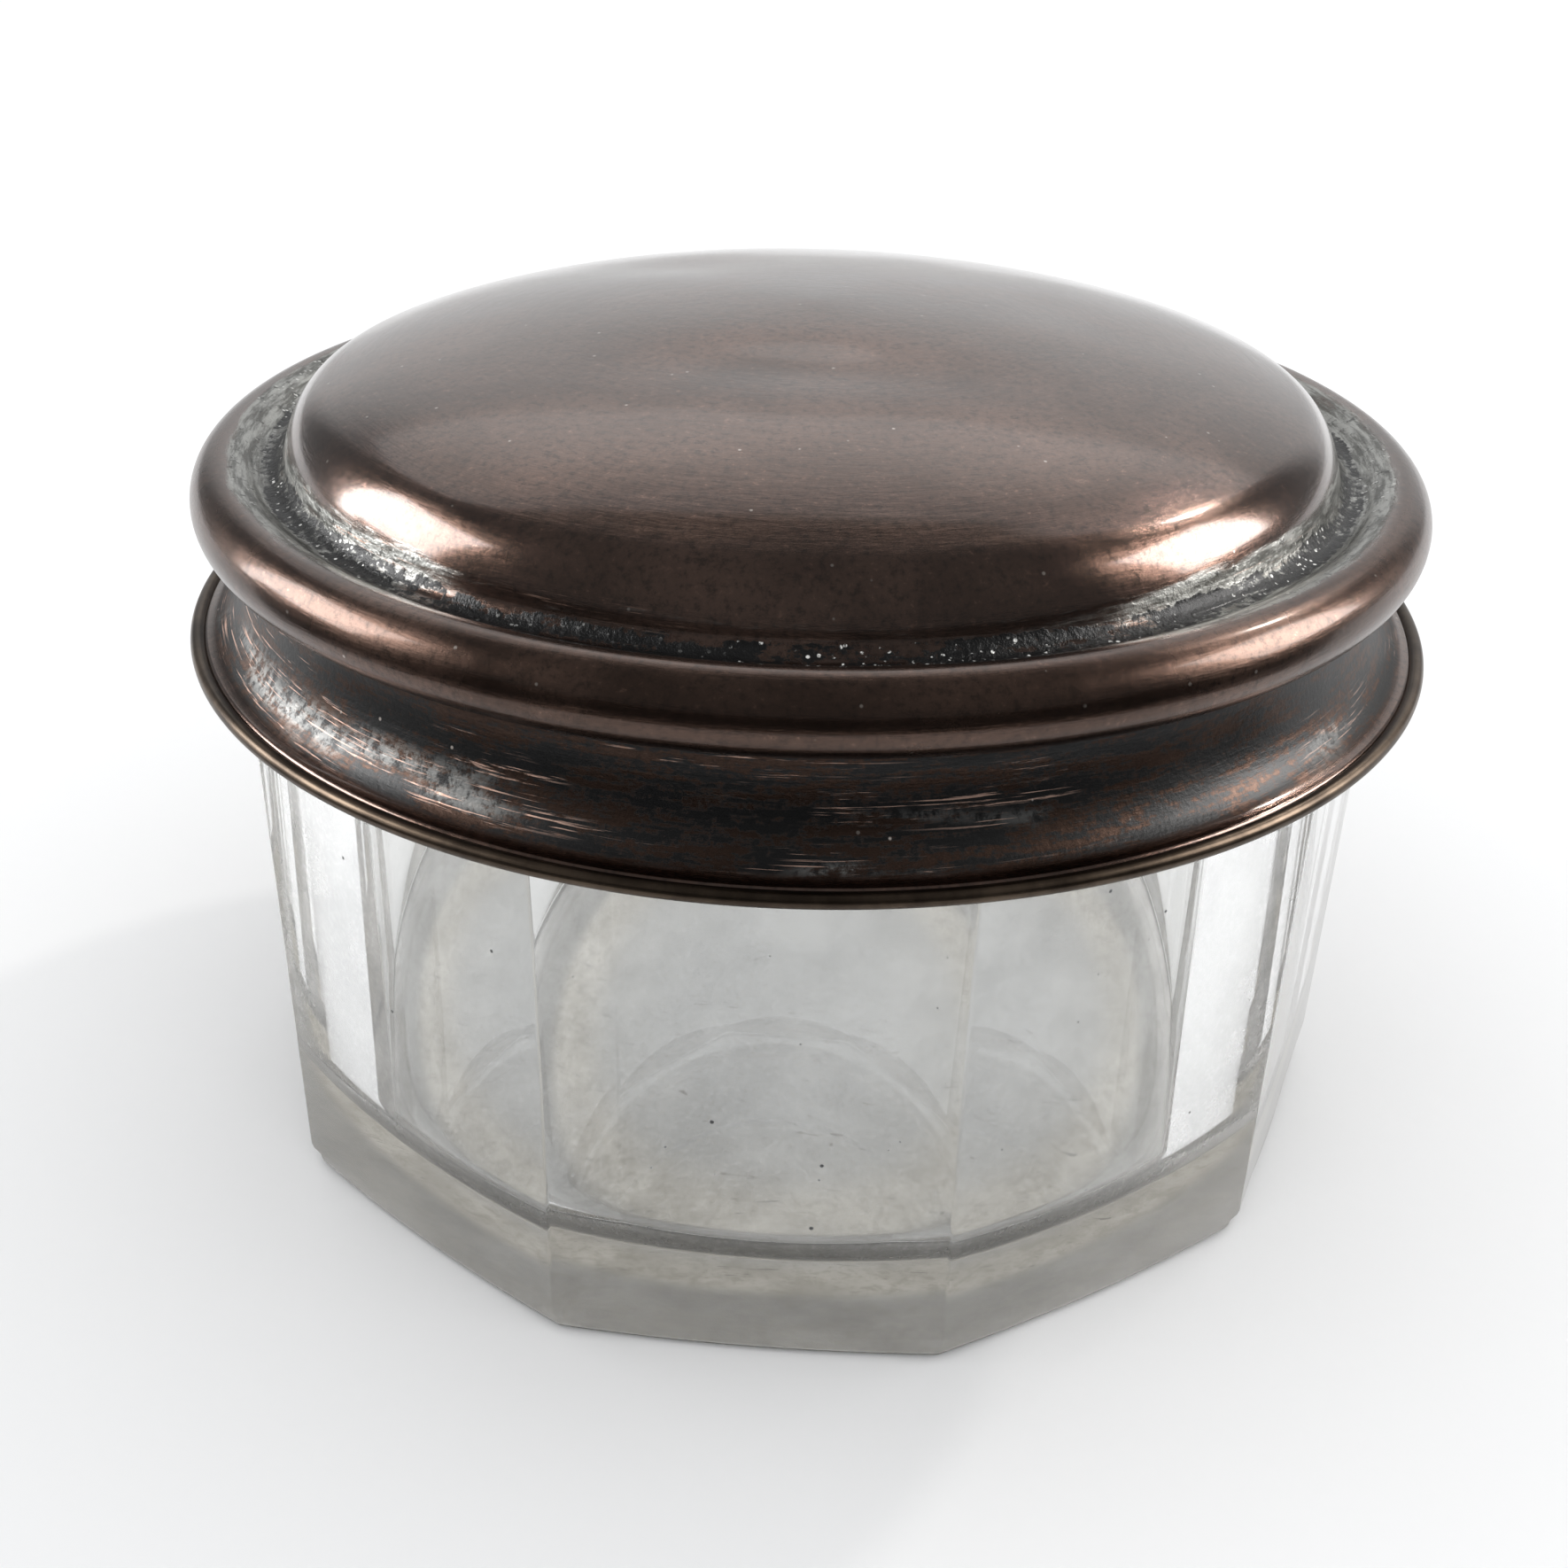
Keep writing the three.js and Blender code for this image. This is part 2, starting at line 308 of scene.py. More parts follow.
def glass_jar():
    """The pressed glass body: flat facets with softly rounded edges, a round neck and a round cavity."""
    outline, outline_normals = facet_outline()
    round_outline = outline / np.linalg.norm(outline, axis=1)[:, None]
    columns = len(outline)
    points, normals, heel_shade = [], [], []
    rows = jar_outline()
    for size, height, out, up, roundness in rows:
        flat = outline * (1 - roundness) + round_outline * roundness
        facing = outline_normals * (1 - roundness) + round_outline * roundness
        points += [(x * size, y * size, height) for x, y in flat]
        normals += [(x * out, y * out, up) for x, y in facing]
        heel_shade += [float(height < BASE_ROUND * 0.4 and size >= FLAT_APOTHEM)] * columns
    faces = ring_faces(len(rows), columns, False)
    last = (len(rows) - 1) * columns
    points += [(0, 0, 0), (0, 0, CAVITY_FLOOR_Z)]
    normals += [(0, 0, -1), (0, 0, 1)]
    heel_shade += [0, 0]
    bottom, floor = len(points) - 2, len(points) - 1
    for j in range(columns):
        k = (j + 1) % columns
        faces.append((k, j, bottom))
        faces.append((last + j, last + k, floor))
    obj = new_object("jar_body", points, faces)
    mesh = obj.data
    face_outwards(mesh)
    mesh.normals_split_custom_set_from_vertices([tuple(n) for n in normals])
    add_point_values(obj, "heel_shade", heel_shade)
    for polygon in mesh.polygons:
        polygon.material_index = jar_finish(polygon)
    return obj


def jar_finish(polygon):
    """0 for clear glass, 1 for the dull inside of the cavity, 2 for the ground underside and rim."""
    height = polygon.center.z / MM
    reach = math.hypot(polygon.center.x, polygon.center.y) / MM
    if height < BASE_ROUND * 0.5 or height > NECK_TOP_Z - 0.02:
        return 2
    return 1 if reach < CAVITY_RADIUS + 0.05 else 0


# ---------------------------------------------------------------- the lid
SHELL_COLUMNS = 320
DENTS = (
    # centre x and y, half sizes, depth
    (0.3, -8.2, 7.0, 2.7, 0.27),
    (-7.0, 9.5, 5.0, 3.5, 0.1),
    (11.0, 4.0, 3.0, 4.5, 0.07),
)
WOBBLE = 0.045


def worn_crown(points):
    """Hand wear: shallow dents in the crown, and slow waves that the eye sees only in reflections. Nothing
    rises above the outline."""
    moved = points.copy()
    for i, (x, y, z) in enumerate(points):
        reach = math.hypot(x, y)
        crown = 0
        if z > CROWN_FOOT_Z:
            crown = 1 - float(smooth_step(reach, CROWN_EDGE_RADIUS - 1, CROWN_EDGE_RADIUS + 1))
        dents = sum(d * math.exp(-(((x - u) / p) ** 2) - ((y - v) / q) ** 2) for u, v, p, q, d in DENTS)
        wave = noise.noise(Vector((x * 0.09, y * 0.09, 4.2)))
        wave += 0.35 * noise.noise(Vector((x * 0.25, y * 0.25, 1.7)))
        moved[i][2] -= crown * (dents + WOBBLE * (1 + wave))
        squeeze = 1 - 0.0007 * (1 + noise.noise(Vector((x * 0.06, y * 0.06, z * 0.3))))
        moved[i][0] *= squeeze
        moved[i][1] *= squeeze
    return moved


def lid_shell():
    """The spun sheet, with its inside a sheet's thickness behind its outside."""
    outer = lid_outline()
    inner = outer - normals_of(outer) * SHEET
    inner[0][0] = 0
    lip_middle = (outer[-1] + inner[-1]) / 2
    tangent = outer[-1] - outer[-2]
    lip = lip_middle + tangent / np.linalg.norm(tangent) * SHEET * 0.35
    outline = np.vstack([outer, [lip], inner[::-1]])
    obj = turned("lid_copper_shell", outline, SHELL_COLUMNS, shift=worn_crown)

    along = np.concatenate([[0], np.cumsum(np.linalg.norm(np.diff(outline, axis=0), axis=1))])
    radii, heights = outline[:, 0], outline[:, 1]
    outside = np.arange(len(outline)) < len(outer)
    groove_at = along[np.argmin(np.where(outside & (radii > 24) & (radii < 26.5), heights, 99))]
    crest_at = along[np.argmax(np.where(outside & (radii > 26.5), heights, 0))]
    brow_at = along[np.argmax(np.where(outside, radii, 0))]
    cove_at = along[np.argmax(outside & (heights < BEAD_CENTRE_Z - BEAD_ROUND - 0.05))]
    foot_at = along[len(outer) - 1]

    def between(start, end, soft):
        rise = smooth_step(along, start - soft, start + soft)
        return rise * (1 - smooth_step(along, end - soft, end + soft))

    masks = {
        "groove": between(groove_at - 1.15, groove_at + 0.4, 0.3),
        "plate": between(groove_at - 2.0, crest_at - 0.1, 0.5),
        "scrape": between(groove_at - 1.8, groove_at - 1.1, 0.3),
        "bead": between(crest_at, cove_at, 0.5),
        "under": between(brow_at + 0.3, cove_at + 0.7, 0.4),
        "cove": between(cove_at - 0.1, foot_at - 0.5, 0.3),
        "foot": between(foot_at - 2.6, foot_at - 0.5, 0.8),
        "within": smooth_step(along, foot_at + 0.2, foot_at + 0.8),
    }
    for name, values in masks.items():
        body = np.repeat(values[1:-1], SHELL_COLUMNS)
        add_point_values(obj, name, np.concatenate([body, [values[0], values[-1]]]))
    return obj


def foot_wire():
    centre_r = WIRE_HIGH.x - (WIRE_HIGH.z - WIRE_LOW.z) / 2
    radius = (WIRE_HIGH.z - WIRE_LOW.z) / 2
    section = arc((centre_r, (WIRE_HIGH.z + WIRE_LOW.z) / 2), radius, 0, 360, 20)[:-1]
    return turned("lid_foot_ring", section, 320, closed=True)


def rounded_section(low, high, radius):
    """A closed rectangle of (radius, height) points with rounded corners."""
    (r0, z0), (r1, z1) = low, high
    return joined(
        arc((r1 - radius, z0 + radius), radius, -90, 0, 4),
        arc((r1 - radius, z1 - radius), radius, 0, 90, 4),
        arc((r0 + radius, z1 - radius), radius, 90, 180, 4),
        arc((r0 + radius, z0 + radius), radius, 180, 270, 4),
    )


COLLAR_INNER_RADIUS = 25.5


def lid_collar():
    section = rounded_section((COLLAR_INNER_RADIUS, COLLAR_LOW.z), (COLLAR_HIGH.x, COLLAR_HIGH.z), 0.12)
    return turned("lid_inner_collar", section, 240, closed=True)


def seal_disc():
    edge = 0.18
    outline = joined(
        [(0, DISC_LOW.z)],
        arc((DISC_HIGH.x - edge, DISC_LOW.z + edge), edge, -90, 0, 4),
        arc((DISC_HIGH.x - edge, DISC_HIGH.z - edge), edge, 0, 90, 4),
        [(0, DISC_HIGH.z)],
    )
    return turned("lid_card_disc", outline, 240)


# ---------------------------------------------------------------- materials
class Tree:
    """A new material's node tree. Any input may be a number, a colour or another node's output."""

    def __init__(self, name):
        self.material = bpy.data.materials.new(name)
        self.material.use_nodes = True
        self.nodes = self.material.node_tree.nodes
        self.links = self.material.node_tree.links
        self.shader = self.nodes["Principled BSDF"]
        self.output = self.nodes["Material Output"]

    def feed(self, socket, value):
        if isinstance(value, bpy.types.NodeSocket):
            self.links.new(value, socket)
        elif isinstance(value, tuple) and len(value) == 3 and socket.type == "RGBA":
            socket.default_value = (*value, 1)
        else:
            socket.default_value = value

    def add(self, kind, inputs=(), **settings):
        node = self.nodes.new(kind)
        for name, value in settings.items():
            setattr(node, name, value)
        for key, value in dict(inputs).items():
            self.feed(node.inputs[key], value)
        return node

    def attribute(self, name, vector=False):
        node = self.add("ShaderNodeAttribute", attribute_name=name)
        return node.outputs["Vector" if vector else "Fac"]

    def millimetres(self):
        """The point on the piece, in millimetres from the jar's base, wherever the piece has moved."""
        place = self.add("ShaderNodeTexCoord").outputs["Object"]
        return self.scaled(place, (1000, 1000, 1000))

    def scaled(self, vector, factors):
        node = self.add("ShaderNodeVectorMath", {0: vector, 1: factors}, operation="MULTIPLY")
        return node.outputs["Vector"]

    def noise(self, vector, scale, detail=3.0, roughness=0.55, distortion=0.0):
        inputs = {"Vector": vector, "Scale": scale, "Detail": detail, "Roughness": roughness}
        inputs["Distortion"] = distortion
        return self.add("ShaderNodeTexNoise", inputs).outputs["Fac"]

    def remap(self, value, low, high, to_low=0.0, to_high=1.0):
        inputs = {"Value": value, "From Min": low, "From Max": high, "To Min": to_low, "To Max": to_high}
        node = self.add("ShaderNodeMapRange", inputs, interpolation_type="SMOOTHSTEP")
        return node.outputs["Result"]

    def math(self, operation, a, b=0.0, clamp=False):
        node = self.add("ShaderNodeMath", {0: a, 1: b}, operation=operation, use_clamp=clamp)
        return node.outputs["Value"]

    def mix(self, factor, a, b):
        node = self.add("ShaderNodeMix", {"Factor": factor}, data_type="RGBA")
        self.feed(node.inputs[6], a)
        self.feed(node.inputs[7], b)
        return node.outputs[2]

    def bump(self, height, distance, strength=1.0, normal=None):
        inputs = {"Height": height, "Distance": distance, "Strength": strength}
        if normal is not None:
            inputs["Normal"] = normal
        return self.add("ShaderNodeBump", inputs).outputs["Normal"]

    def finish(self, **inputs):
        """Sets the shader's inputs, named with underscores for spaces."""
        for name, value in inputs.items():
            self.feed(self.shader.inputs[name.replace("_", " ")], value)
        return self.material

    def let_lamps_through(self, share):
        """Direct light passes the glass, as it does in a real jar, instead of leaving a black shadow."""
        clear = self.add("ShaderNodeBsdfTransparent", {"Color": (share, share, share)})
        path = self.add("ShaderNodeLightPath")
        mix = self.add("ShaderNodeMixShader", {0: path.outputs["Is Shadow Ray"]})
        self.links.new(self.output.inputs["Surface"].links[0].from_socket, mix.inputs[1])
        self.links.new(clear.outputs["BSDF"], mix.inputs[2])
        self.links.new(mix.outputs["Shader"], self.output.inputs["Surface"])


def clear_glass():
    """Pressed glass: clear, with slow waves and a few faint rubs."""
    t = Tree("clear pressed glass")
    place = t.millimetres()
    waves = t.noise(place, 0.12, detail=2.0)
    rubs = t.noise(t.scaled(place, (1.0, 1.0, 0.3)), 1.6, detail=6.0, roughness=0.7)
    t.finish(
        Base_Color=(0.985, 0.99, 0.985),
        Roughness=t.remap(rubs, 0.6, 0.8, 0.0, 0.02),
        IOR=1.51,
        Transmission_Weight=1.0,
        Normal=t.bump(waves, 0.00035, 0.03),
    )
    t.let_lamps_through(0.9)
    return t.material


UNDER_WALL_REACH = (18.6, 21.0)  # mm from the jar's middle to where the wall stands over it
# How dark the painted shade under the wall is.
UNDER_WALL_SHADE = 0.5


def hazy_glass():
    """The inside of the cavity: glass with a thin dry film, fine grains and a few dark specks."""
    t = Tree("glass with a dry film inside")
    place = t.millimetres()
    clouds = t.noise(place, 0.16, detail=5.0, roughness=0.6)
    grain = t.noise(place, 3.2, detail=4.0, roughness=0.8)
    specks = t.add("ShaderNodeTexVoronoi", {"Vector": place, "Scale": 0.45}).outputs["Distance"]
    speck = t.remap(specks, 0.035, 0.055, 1.0, 0.0)
    film = t.math("ADD", t.remap(clouds, 0.3, 0.75, 0.01, 0.06), t.remap(grain, 0.45, 0.75, 0.0, 0.06))
    share = t.math("MAXIMUM", film, speck)
    t.finish(
        Base_Color=t.mix(speck, (0.95, 0.955, 0.95), (0.03, 0.03, 0.03)),
        Roughness=t.remap(clouds, 0.3, 0.8, 0.0, 0.04),
        IOR=1.51,
        Transmission_Weight=t.math("SUBTRACT", 1.0, share),
    )
    t.let_lamps_through(0.85)
    return t.material


def ground_glass():
    """The flat underside and the rim, ground dull, with old dust in the pits. The middle is cleaner than
    the outer part, and darker outwards as painted shade. Under the wall a dark ring is painted shade, and
    there the glass between the dust is clearer, so a steep view passes it. The base's outer edge is painted
    near black as a contact shadow."""
    t = Tree("ground glass")
    place = t.millimetres()
    clouds = t.noise(place, 0.2, detail=6.0, roughness=0.65)
    blotches = t.noise(place, 0.9, detail=6.0, roughness=0.75, distortion=0.6)
    pits = t.noise(place, 3.2, detail=4.0, roughness=0.8)
    scratches = t.noise(t.scaled(place, (0.5, 2.6, 1.0)), 1.0, detail=3.0, roughness=0.6, distortion=1.5)
    reach = t.add("ShaderNodeVectorMath", {0: place}, operation="LENGTH").outputs["Value"]
    dusty = t.mix(t.remap(clouds, 0.35, 0.65), (0.225, 0.214, 0.19), (0.165, 0.156, 0.137))
    dusty = t.mix(t.remap(blotches, 0.46, 0.62, 0.0, 0.7), dusty, (0.12, 0.112, 0.093))
    # Painted shade: the clean middle is darker towards the outer part.
    pale = t.mix(t.remap(reach, 8.0, 16.0), (0.2, 0.203, 0.203), (0.165, 0.165, 0.16))
    colour = t.mix(t.remap(reach, 14.0, 17.5), pale, dusty)
    colour = t.mix(t.remap(pits, 0.54, 0.66, 0.0, 0.7), colour, (0.13, 0.12, 0.1))
    colour = t.mix(t.remap(scratches, 0.66, 0.7, 0.0, 0.75), colour, (0.05, 0.045, 0.04))
    clear_share = t.remap(blotches, 0.42, 0.62, 0.85, 0.62)
    # Painted shade under the wall: Base Color is darkened in this ring, and the glass there lets more
    # through.
    under_wall = t.remap(reach, *UNDER_WALL_REACH)
    # Painted contact shadow: the base's outer edge is near black.
    colour = t.mix(t.attribute("heel_shade"), colour, (0.06, 0.057, 0.05))
    t.finish(
        Base_Color=t.mix(t.math("MULTIPLY", under_wall, UNDER_WALL_SHADE), colour, (0.05, 0.048, 0.043)),
        Roughness=t.remap(clouds, 0.3, 0.7, 0.5, 0.62),
        IOR=1.51,
        Transmission_Weight=t.math("MULTIPLY", t.remap(under_wall, 0.0, 1.0, 0.15, 1.0), clear_share),
        Normal=t.bump(pits, 0.00004, 0.3),
    )
    t.let_lamps_through(0.75)
    return t.material


def worn_copper():
    """Brown copper. What is left of the silver plate is grey round the groove and black with dirt in the
    groove and the cove, with bare copper in the scratches."""
    t = Tree("worn silver-plated copper")
    place = t.millimetres()
    ring = t.attribute("ring", vector=True)
    across = t.add("ShaderNodeSeparateXYZ", {"Vector": ring}).outputs["X"]
    sheen_sides = t.remap(t.math("ABSOLUTE", across), 0.3, 0.8)

    def centred(value, gain):
        return t.math("MULTIPLY", t.math("SUBTRACT", value, 0.5), gain)

    def streaky(round_scale, along_scale, detail=4.0, roughness=0.6):
        return t.noise(t.scaled(ring, (round_scale, round_scale, along_scale)), 1.0, detail, roughness)

    clouds = t.noise(place, 0.13, detail=5.0, roughness=0.6, distortion=0.4)
    grain = t.noise(place, 2.6, detail=5.0, roughness=0.75)
    crust = t.noise(place, 1.9, detail=4.0, roughness=0.7)
    pits = t.noise(place, 4.5, detail=2.0, roughness=0.6)
    patches = streaky(5.0, 0.9)
    clusters = streaky(2.2, 0.35, detail=2.0)
    streaks = streaky(8.0, 2.4, detail=6.0, roughness=0.7)
    hairs = streaky(6.0, 9.0)
    spots = t.add("ShaderNodeTexVoronoi", {"Vector": place, "Scale": 0.62}).outputs["Distance"]
    bubbles = t.add("ShaderNodeTexVoronoi", {"Vector": place, "Scale": 3.0}).outputs["Distance"]

    # Bare metal: brown, mottled by fine oxide, near black below the bead's brow and sooty in the cove.
    brown = t.mix(t.remap(clouds, 0.3, 0.7), (0.092, 0.055, 0.041), (0.165, 0.1, 0.076))
    brown = t.mix(t.remap(grain, 0.46, 0.68, 0.0, 0.85), brown, (0.055, 0.036, 0.028))
    brown = t.mix(t.remap(grain, 0.42, 0.28, 0.0, 0.6), brown, (0.3, 0.18, 0.135))
    brown = t.mix(t.math("MULTIPLY", t.attribute("bead"), 0.3), brown, (0.04, 0.028, 0.022))
    brown = t.mix(t.attribute("under"), brown, (0.015, 0.0125, 0.011))
    brown = t.mix(t.math("MULTIPLY", t.attribute("cove"), 0.8), brown, (0.075, 0.048, 0.037))

    # Grey plate round the groove. It is greyest at the left and right, partly real plate and partly painted
    # sheen where the window lamps fall.
    edge = t.math("MULTIPLY", t.attribute("plate"), t.remap(sheen_sides, 0.0, 1.0, 0.4, 1.05))
    edge = t.math("ADD", edge, t.math("ADD", centred(patches, 1.0), centred(streaks, 1.3)))
    plate_share = t.remap(edge, 0.45, 0.95)
    grey = t.mix(t.remap(streaks, 0.4, 0.6), (0.13, 0.13, 0.12), (0.42, 0.42, 0.4))
    grey = t.mix(t.remap(crust, 0.58, 0.66, 0.0, 0.7), grey, (0.03, 0.03, 0.03))
    colour = t.mix(plate_share, brown, grey)

    # Black dirt in the groove and the cove, broken into streaks along them.
    dirt = t.math("ADD", t.attribute("groove"), t.math("ADD", centred(patches, 1.9), centred(crust, 1.6)))
    dirt = t.math("ADD", dirt, centred(streaks, 1.2))
    groove_share = t.math("MULTIPLY", t.remap(dirt, 0.72, 0.98), t.remap(t.attribute("groove"), 0.0, 0.2))
    smear = t.math("ADD", t.math("ADD", centred(streaks, 1.6), centred(grain, 1.0)), centred(patches, 0.9))
    cove_share = t.math("MULTIPLY", t.attribute("cove"), t.remap(smear, -0.2, 0.06, 0.12, 1.0))
    black_share = t.math("MAXIMUM", groove_share, cove_share)
    colour = t.mix(black_share, colour, (0.004, 0.004, 0.0045))

    # Silver flecks in the dirt, near white, partly real plate and partly painted glints; a grey bloom near
    # the foot; and bare scratches.
    fleck_glint = t.math("MULTIPLY", t.remap(bubbles, 0.3, 0.2), t.remap(crust, 0.5, 0.56))
    fleck_glint = t.math("MULTIPLY", fleck_glint, t.math("MAXIMUM", groove_share, t.math("MULTIPLY", plate_share, 0.7)))
    fleck_glint = t.math("MULTIPLY", fleck_glint, t.remap(clusters, 0.46, 0.56))
    colour = t.mix(fleck_glint, colour, (0.85, 0.85, 0.82))
    bloom = t.math("MULTIPLY", t.attribute("foot"), t.remap(clusters, 0.53, 0.66))
    bloom = t.math("MULTIPLY", bloom, t.remap(crust, 0.4, 0.58))
    bloom = t.math("MULTIPLY", bloom, t.remap(across, 0.7, 0.0, 0.3, 0.9))
    colour = t.mix(bloom, colour, (0.26, 0.26, 0.25))
    scraped = t.math("MAXIMUM", t.attribute("cove"), t.attribute("scrape"))
    bare = t.math("MULTIPLY", t.remap(hairs, 0.57, 0.63), scraped)
    bare = t.math("MULTIPLY", bare, t.remap(clusters, 0.47, 0.56))
    bare = t.math("MULTIPLY", bare, t.remap(streaks, 0.44, 0.54))
    bare = t.math("MULTIPLY", bare, t.remap(across, 0.3, -0.3, 0.35, 1.0))
    colour = t.mix(bare, colour, (0.7, 0.45, 0.35))
    colour = t.mix(t.remap(spots, 0.06, 0.03, 0.0, 0.7), colour, (0.5, 0.45, 0.41))
    colour = t.mix(t.attribute("within"), colour, (0.2, 0.135, 0.1))

    dull = t.math("MAXIMUM", black_share, t.attribute("cove"))
    dull = t.math("MAXIMUM", t.math("MULTIPLY", plate_share, 0.8), dull)
    dull = t.math("MAXIMUM", dull, t.math("MULTIPLY", t.attribute("under"), 0.6))
    rough = t.math("ADD", t.remap(clouds, 0.25, 0.75, 0.16, 0.24), t.math("MULTIPLY", dull, 0.2))
    rough = t.math("ADD", rough, t.math("MULTIPLY", t.attribute("bead"), 0.08))
    coat = t.remap(dull, 0.0, 0.6, 0.85, 0.05)
    coat = t.math("MULTIPLY", coat, t.remap(t.attribute("bead"), 0.0, 1.0, 1.0, 0.4))
    crusty = t.math("MAXIMUM", t.math("MULTIPLY", plate_share, 0.35), t.math("MULTIPLY", groove_share, 0.5))
    relief = t.bump(crust, 0.0002, crusty)
    relief = t.bump(pits, 0.00003, t.math("MULTIPLY", dull, 0.4), relief)
    relief = t.bump(streaks, 0.00006, 0.4, relief)
    relief = t.bump(grain, 0.00002, 0.3, relief)
    t.finish(
        Base_Color=colour,
        Metallic=t.remap(black_share, 0.2, 1.0, 1.0, 0.3),
        Roughness=rough,
        Coat_Weight=coat,
        Coat_Roughness=0.12,
        Normal=relief,
    )
    return t.material


def dull_copper(name, light, dark, roughness):
    """Plain copper with tarnish in clouds and fine turning marks."""
    t = Tree(name)
    ring = t.attribute("ring", vector=True)
    clouds = t.noise(t.millimetres(), 0.35, detail=5.0, roughness=0.65)
    marks = t.noise(t.scaled(ring, (3.0, 3.0, 9.0)), 1.0, detail=4.0)
    t.finish(
        Base_Color=t.mix(t.remap(clouds, 0.3, 0.7), dark, light),
        Metallic=1.0,
        Roughness=t.remap(marks, 0.3, 0.7, roughness - 0.06, roughness + 0.08),
        Normal=t.bump(marks, 0.00002, 0.4),
    )
    return t.material


def waxed_card():
    """Pulp board with short fibres and wax stains."""
    t = Tree("waxed pulp card")
    place = t.millimetres()
    fibres = t.noise(t.scaled(place, (1.0, 3.0, 1.0)), 1.8, detail=6.0, roughness=0.7)
    stains = t.noise(place, 0.15, detail=4.0)
    colour = t.mix(t.remap(fibres, 0.35, 0.7), (0.5, 0.4, 0.27), (0.66, 0.56, 0.4))
    t.finish(
        Base_Color=t.mix(t.remap(stains, 0.5, 0.7, 0.0, 0.5), colour, (0.4, 0.3, 0.19)),
        Roughness=t.remap(stains, 0.3, 0.7, 0.55, 0.8),
        Normal=t.bump(fibres, 0.00005, 0.6),
    )
    return t.material


def pale_floor():
    t = Tree("pale paper")
    grain = t.noise(t.millimetres(), 1.2, detail=5.0, roughness=0.7)
    t.finish(
        Base_Color=t.mix(grain, (0.86, 0.865, 0.87), (0.875, 0.875, 0.88)),
        Roughness=0.85,
        Specular_IOR_Level=0.2,
    )
    return t.material


# ---------------------------------------------------------------- pieces
def dress(obj, body, slot, materials, *nodes):
    for material in materials:
        obj.data.materials.append(material)
    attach(obj, body)
    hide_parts(*nodes)
    return obj


copper = worn_copper()
wire_copper = dull_copper("tarnished copper wire", (0.12, 0.09, 0.066), (0.05, 0.037, 0.028), 0.34)
strip_copper = dull_copper("dull copper strip", (0.34, 0.23, 0.18), (0.2, 0.13, 0.1), 0.42)

jar = dress(glass_jar(), "jar", "glass", [clear_glass(), hazy_glass(), ground_glass()], "glass_jar")
shell = dress(lid_shell(), "lid", "lid_copper", [copper], "lid_shell")
ring = dress(foot_wire(), "lid", "wire_copper", [wire_copper], "lid_foot_wire")
collar = dress(lid_collar(), "lid", "collar_copper", [strip_copper], "lid_collar")
dress(seal_disc(), "disc", "seal_card", [waxed_card()], "lid_seal_disc")


# ---------------------------------------------------------------- floor, light and camera
FLOOR_SIZE = 3.0
FLOOR_GAP = 0.00005
half = FLOOR_SIZE / 2 / MM
corners = [(-half, -half, 0), (half, -half, 0), (half, half, 0), (-half, half, 0)]
floor = new_object("studio_floor", corners, [(0, 1, 2, 3)], smooth=False)
floor.location.z = -FLOOR_GAP
floor.data.materials.append(pale_floor())

LIGHT_BOUNCES = 24

CAMERA_TURN_DEG = 4.37
CAMERA_ELEVATION_DEG = 28.645
CAMERA_ROLL_DEG = 1.338
CAMERA_DISTANCE = 0.10547
CAMERA_AIM = Vector((-0.93, 0, 14.31)) * MM
CAMERA_LENS_MM = 45.92
SENSOR_MM = 36

SOFT_LEVEL = 1.22
CLEAR_LEVEL = 1.1
CAMERA_LEVEL = 1.0
ROOM_LEVEL = 0.2
BACKDROP_LEVEL = 0.75
BACKDROP_ELEVATION_DEG = 10
BACKDROP_INNER_DEG = 27
BACKDROP_OUTER_DEG = 42

CARD_RADIUS = 82
CARD_HEIGHT = 42
CARD_HALF_SWEEP_DEG = 88


def direction(azimuth_deg, elevation_deg):
    """A unit vector. Azimuth 0 is -Y, towards the viewer, and +90 is +X."""
    turn, rise = math.radians(azimuth_deg), math.radians(elevation_deg)
    return Vector((math.sin(turn) * math.cos(rise), -math.cos(turn) * math.cos(rise), math.sin(rise)))


def add_camera():
    turn = Matrix.Rotation(math.radians(CAMERA_TURN_DEG), 3, "Z")
    aim = turn @ CAMERA_AIM
    towards = direction(CAMERA_TURN_DEG, CAMERA_ELEVATION_DEG)
    side = turn @ Vector((1, 0, 0))
    up = towards.cross(side)
    roll = math.radians(CAMERA_ROLL_DEG)
    right = math.cos(roll) * side + math.sin(roll) * up
    top = towards.cross(right)
    data = bpy.data.cameras.new("camera")
    data.sensor_width = SENSOR_MM
    data.lens = CAMERA_LENS_MM
    data.clip_start = 0.005
    camera = bpy.data.objects.new("camera", data)
    bpy.context.scene.collection.objects.link(camera)
    placed = Matrix((right, top, towards)).transposed().to_4x4()
    placed.translation = aim + towards * CAMERA_DISTANCE
    camera.matrix_world = placed
    bpy.context.scene.camera = camera


def add_lamp(name, azimuth, elevation, distance, size, watts, colour=(1, 1, 1)):
    data = bpy.data.lights.new(name, "AREA")
    data.shape = "RECTANGLE"
    data.size, data.size_y = size
    data.energy = watts
    data.color = colour
    lamp = bpy.data.objects.new(name, data)
    lamp.location = direction(azimuth, elevation) * distance
    lamp.rotation_euler = direction(azimuth, elevation).to_track_quat("Z", "Y").to_euler()
    lamp.visible_camera = False
    bpy.context.scene.collection.objects.link(lamp)
    return lamp


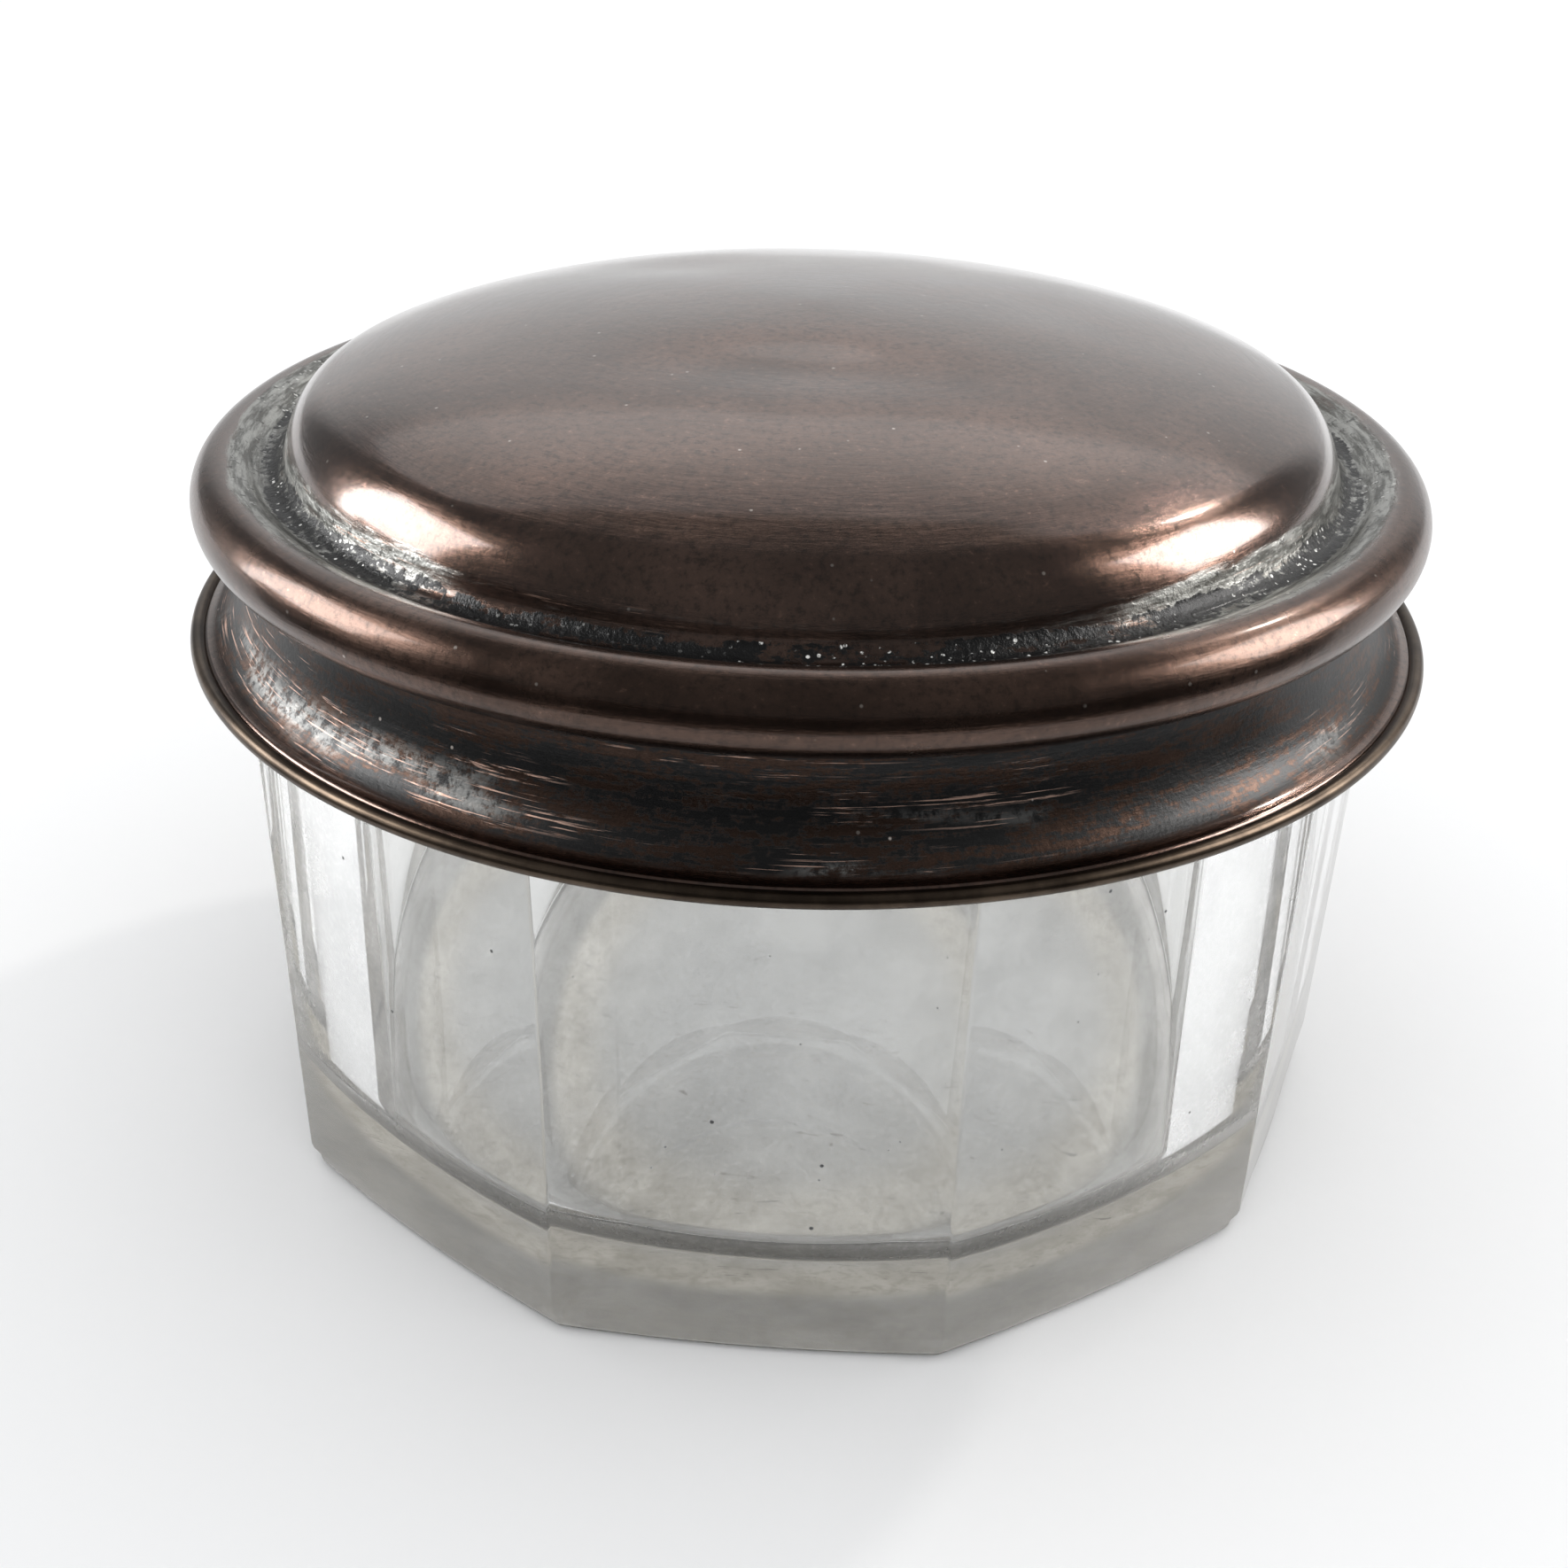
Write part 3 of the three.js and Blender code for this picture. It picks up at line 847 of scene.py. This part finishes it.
def add_world():
    """A pale room. Diffuse and clear surfaces get even light from it. Glossy ones see it as it is: dim, with
    a bright backdrop behind the jar."""
    world = bpy.data.worlds.new("studio")
    world.use_nodes = True
    bpy.context.scene.world = world
    nodes, links = world.node_tree.nodes, world.node_tree.links
    background = nodes["Background"]
    path = nodes.new("ShaderNodeLightPath")

    facing = nodes.new("ShaderNodeVectorMath")
    facing.operation = "DOT_PRODUCT"
    links.new(nodes.new("ShaderNodeTexCoord").outputs["Generated"], facing.inputs[0])
    facing.inputs[1].default_value = direction(180, BACKDROP_ELEVATION_DEG)
    backdrop = nodes.new("ShaderNodeMapRange")
    backdrop.interpolation_type = "SMOOTHSTEP"
    links.new(facing.outputs["Value"], backdrop.inputs["Value"])
    for name, value in (
        ("From Min", math.cos(math.radians(BACKDROP_OUTER_DEG))),
        ("From Max", math.cos(math.radians(BACKDROP_INNER_DEG))),
        ("To Min", ROOM_LEVEL),
        ("To Max", BACKDROP_LEVEL),
    ):
        backdrop.inputs[name].default_value = value

    level = backdrop.outputs["Result"]
    for ray_kind, ray_level in (
        ("Is Transmission Ray", CLEAR_LEVEL),
        ("Is Diffuse Ray", SOFT_LEVEL),
        ("Is Camera Ray", CAMERA_LEVEL),
    ):
        choice = nodes.new("ShaderNodeMix")
        choice.data_type = "FLOAT"
        links.new(path.outputs[ray_kind], choice.inputs[0])
        links.new(level, choice.inputs[2])
        choice.inputs[3].default_value = ray_level
        level = choice.outputs[0]
    links.new(level, background.inputs["Strength"])
    background.inputs["Color"].default_value = (0.99, 0.995, 1.0, 1)


def only_in_reflections(obj):
    obj.visible_camera = obj.visible_diffuse = obj.visible_transmission = False
    obj.visible_shadow = False


def for_glass_only(lamp):
    """The lamp fills the dull faces of the glass with soft light, through the lid."""
    lamp.visible_glossy = lamp.visible_transmission = False
    lamp.light_linking.receiver_collection = glass_pieces
    lamp.light_linking.blocker_collection = glass_pieces


def for_metal_only(lamp):
    """The lamp shows as a reflection in the metal pieces, and leaves the glass and the floor alone."""
    only_in_reflections(lamp)
    lamp.light_linking.receiver_collection = metal_pieces


def add_dark_card():
    """A low dark card curved round the front, which only reflections see. It stands for the viewer's side of
    the room, so that the front of the lid doesn't mirror an endless white table."""
    turns = [math.radians(-90 + t) for t in np.linspace(-CARD_HALF_SWEEP_DEG, CARD_HALF_SWEEP_DEG, 33)]
    foot = [(CARD_RADIUS * math.cos(t), CARD_RADIUS * math.sin(t), 0.1) for t in turns]
    head = [(x, y, CARD_HEIGHT) for x, y, _ in foot]
    count = len(foot)
    faces = [(i, i + 1, count + i + 1, count + i) for i in range(count - 1)]
    card = new_object("dark_card", foot + head, faces)
    t = Tree("dark felt")
    pile = t.noise(t.millimetres(), 2.0, detail=3.0)
    t.finish(Base_Color=t.mix(pile, (0.03, 0.03, 0.03), (0.05, 0.05, 0.05)), Roughness=1.0)
    card.data.materials.append(t.material)
    only_in_reflections(card)


metal_pieces = bpy.data.collections.new("metal pieces")
for piece in (shell, ring, collar):
    metal_pieces.objects.link(piece)
glass_pieces = bpy.data.collections.new("glass pieces")
glass_pieces.objects.link(jar)

add_camera()
add_world()
add_dark_card()
add_lamp("key_back_right", 135, 44, 0.9, (0.05, 0.05), 1.05, (1, 0.97, 0.93))
for_metal_only(add_lamp("window_right", 98, 29, 0.5, (0.24, 0.26), 2.3, (1, 0.98, 0.96)))
for_metal_only(add_lamp("window_left", -92, 23, 0.5, (0.28, 0.3), 2.7))
for_metal_only(add_lamp("glow_above_backdrop", 180, 48, 0.6, (0.75, 0.24), 0.4))
for_glass_only(add_lamp("fill_left", -95, 45, 0.12, (0.08, 0.08), 0.44))
for_glass_only(add_lamp("fill_right", 75, 45, 0.12, (0.08, 0.08), 0.11))
scene = bpy.context.scene
scene.view_settings.view_transform = "Standard"
scene.cycles.use_denoising = True
# Light that enters the thick glass turns back many times inside it.
scene.cycles.max_bounces = LIGHT_BOUNCES
scene.cycles.glossy_bounces = LIGHT_BOUNCES
scene.cycles.transmission_bounces = LIGHT_BOUNCES
